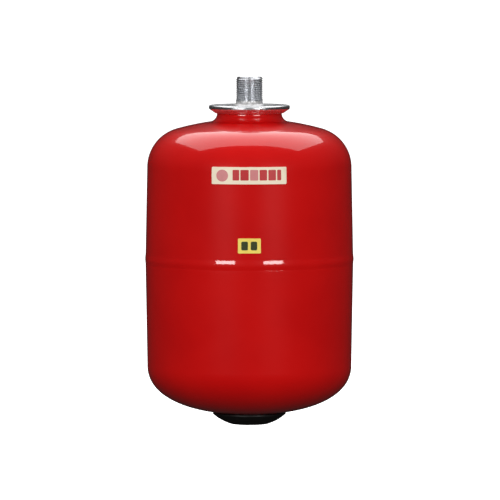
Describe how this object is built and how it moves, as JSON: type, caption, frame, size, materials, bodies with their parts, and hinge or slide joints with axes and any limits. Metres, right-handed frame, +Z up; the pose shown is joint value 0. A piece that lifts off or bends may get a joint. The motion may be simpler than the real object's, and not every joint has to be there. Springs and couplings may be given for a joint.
{
  "type": "expansion vessel",
  "caption": "Upright cylindrical expansion vessel with domed ends, a threaded water nipple on a crimped flange, and an air valve under a push-on bottom cap.",
  "frame": {"origin": "centre of the bottom cap's flat base, the lowest point, on the vessel's axis", "axes": "+Z up along the vessel's axis towards the threaded connection, +X to the right as the labels are read, -Y the side with the labels"},
  "size_m": [0.2048, 0.2048, 0.3401],
  "materials": {
    "red_paint": "smooth high-gloss red powder coat",
    "zinc_plate": "bright zinc plating, slightly brushed",
    "weld_steel": "zinc-plated weld, dull",
    "bag_rubber": "moulded, matt",
    "seal_rubber": "moulded, matt",
    "valve_brass": "turned, bright",
    "spring_steel": "drawn wire, bright",
    "cap_plastic": "moulded, satin",
    "brand_film": "printed sticker film, cream with plain red bars",
    "notice_film": "printed sticker film, yellow"
  },
  "bodies": {
    "vessel": {"upper_shell": "red_paint", "lower_shell": "red_paint", "girth_weld": "red_paint", "counterflange": "zinc_plate", "connection_nipple": "zinc_plate", "nipple_weld": "weld_steel", "bladder": "bag_rubber", "valve_stem": "valve_brass", "valve_gasket": "seal_rubber", "valve_washer": "zinc_plate", "valve_nut": "zinc_plate", "core_barrel": "valve_brass", "core_gasket": "seal_rubber", "core_spring": "spring_steel", "brand_label": "brand_film", "notice_label": "notice_film"},
    "valve_pin": {"core_pin": "valve_brass", "poppet_seal": "seal_rubber"},
    "dust_cap_thread": {"dust_cap_seal": "seal_rubber"},
    "dust_cap": {"dust_cap": "cap_plastic"},
    "cover": {"valve_cover": "cap_plastic"}
  },
  "joints": [
    {"name": "cover_pull", "type": "slide", "parent": "vessel", "child": "cover", "axis": [0, 0, -1], "range_m": [0, 0.028]},
    {"name": "dust_cap_turn", "type": "hinge", "parent": "dust_cap_thread", "child": "dust_cap", "pos_m": [0, 0, 0.0064], "axis": [0, 0, -1], "range_deg": [0, 1620]},
    {"name": "dust_cap_travel", "type": "slide", "parent": "vessel", "child": "dust_cap_thread", "axis": [0, 0, -1], "range_m": [0, 0.00357]},
    {"name": "valve_pin_press", "type": "slide", "parent": "vessel", "child": "valve_pin", "axis": [0, 0, 1], "range_m": [0, 0.0012], "stiffness_N_per_m": 1500, "springref_m": -0.002, "deforming": ["core_spring"]}
  ],
  "couplings": [
    {"joint": "dust_cap_turn", "follows": "dust_cap_travel", "rad_per_m": 7913.3}
  ]
}
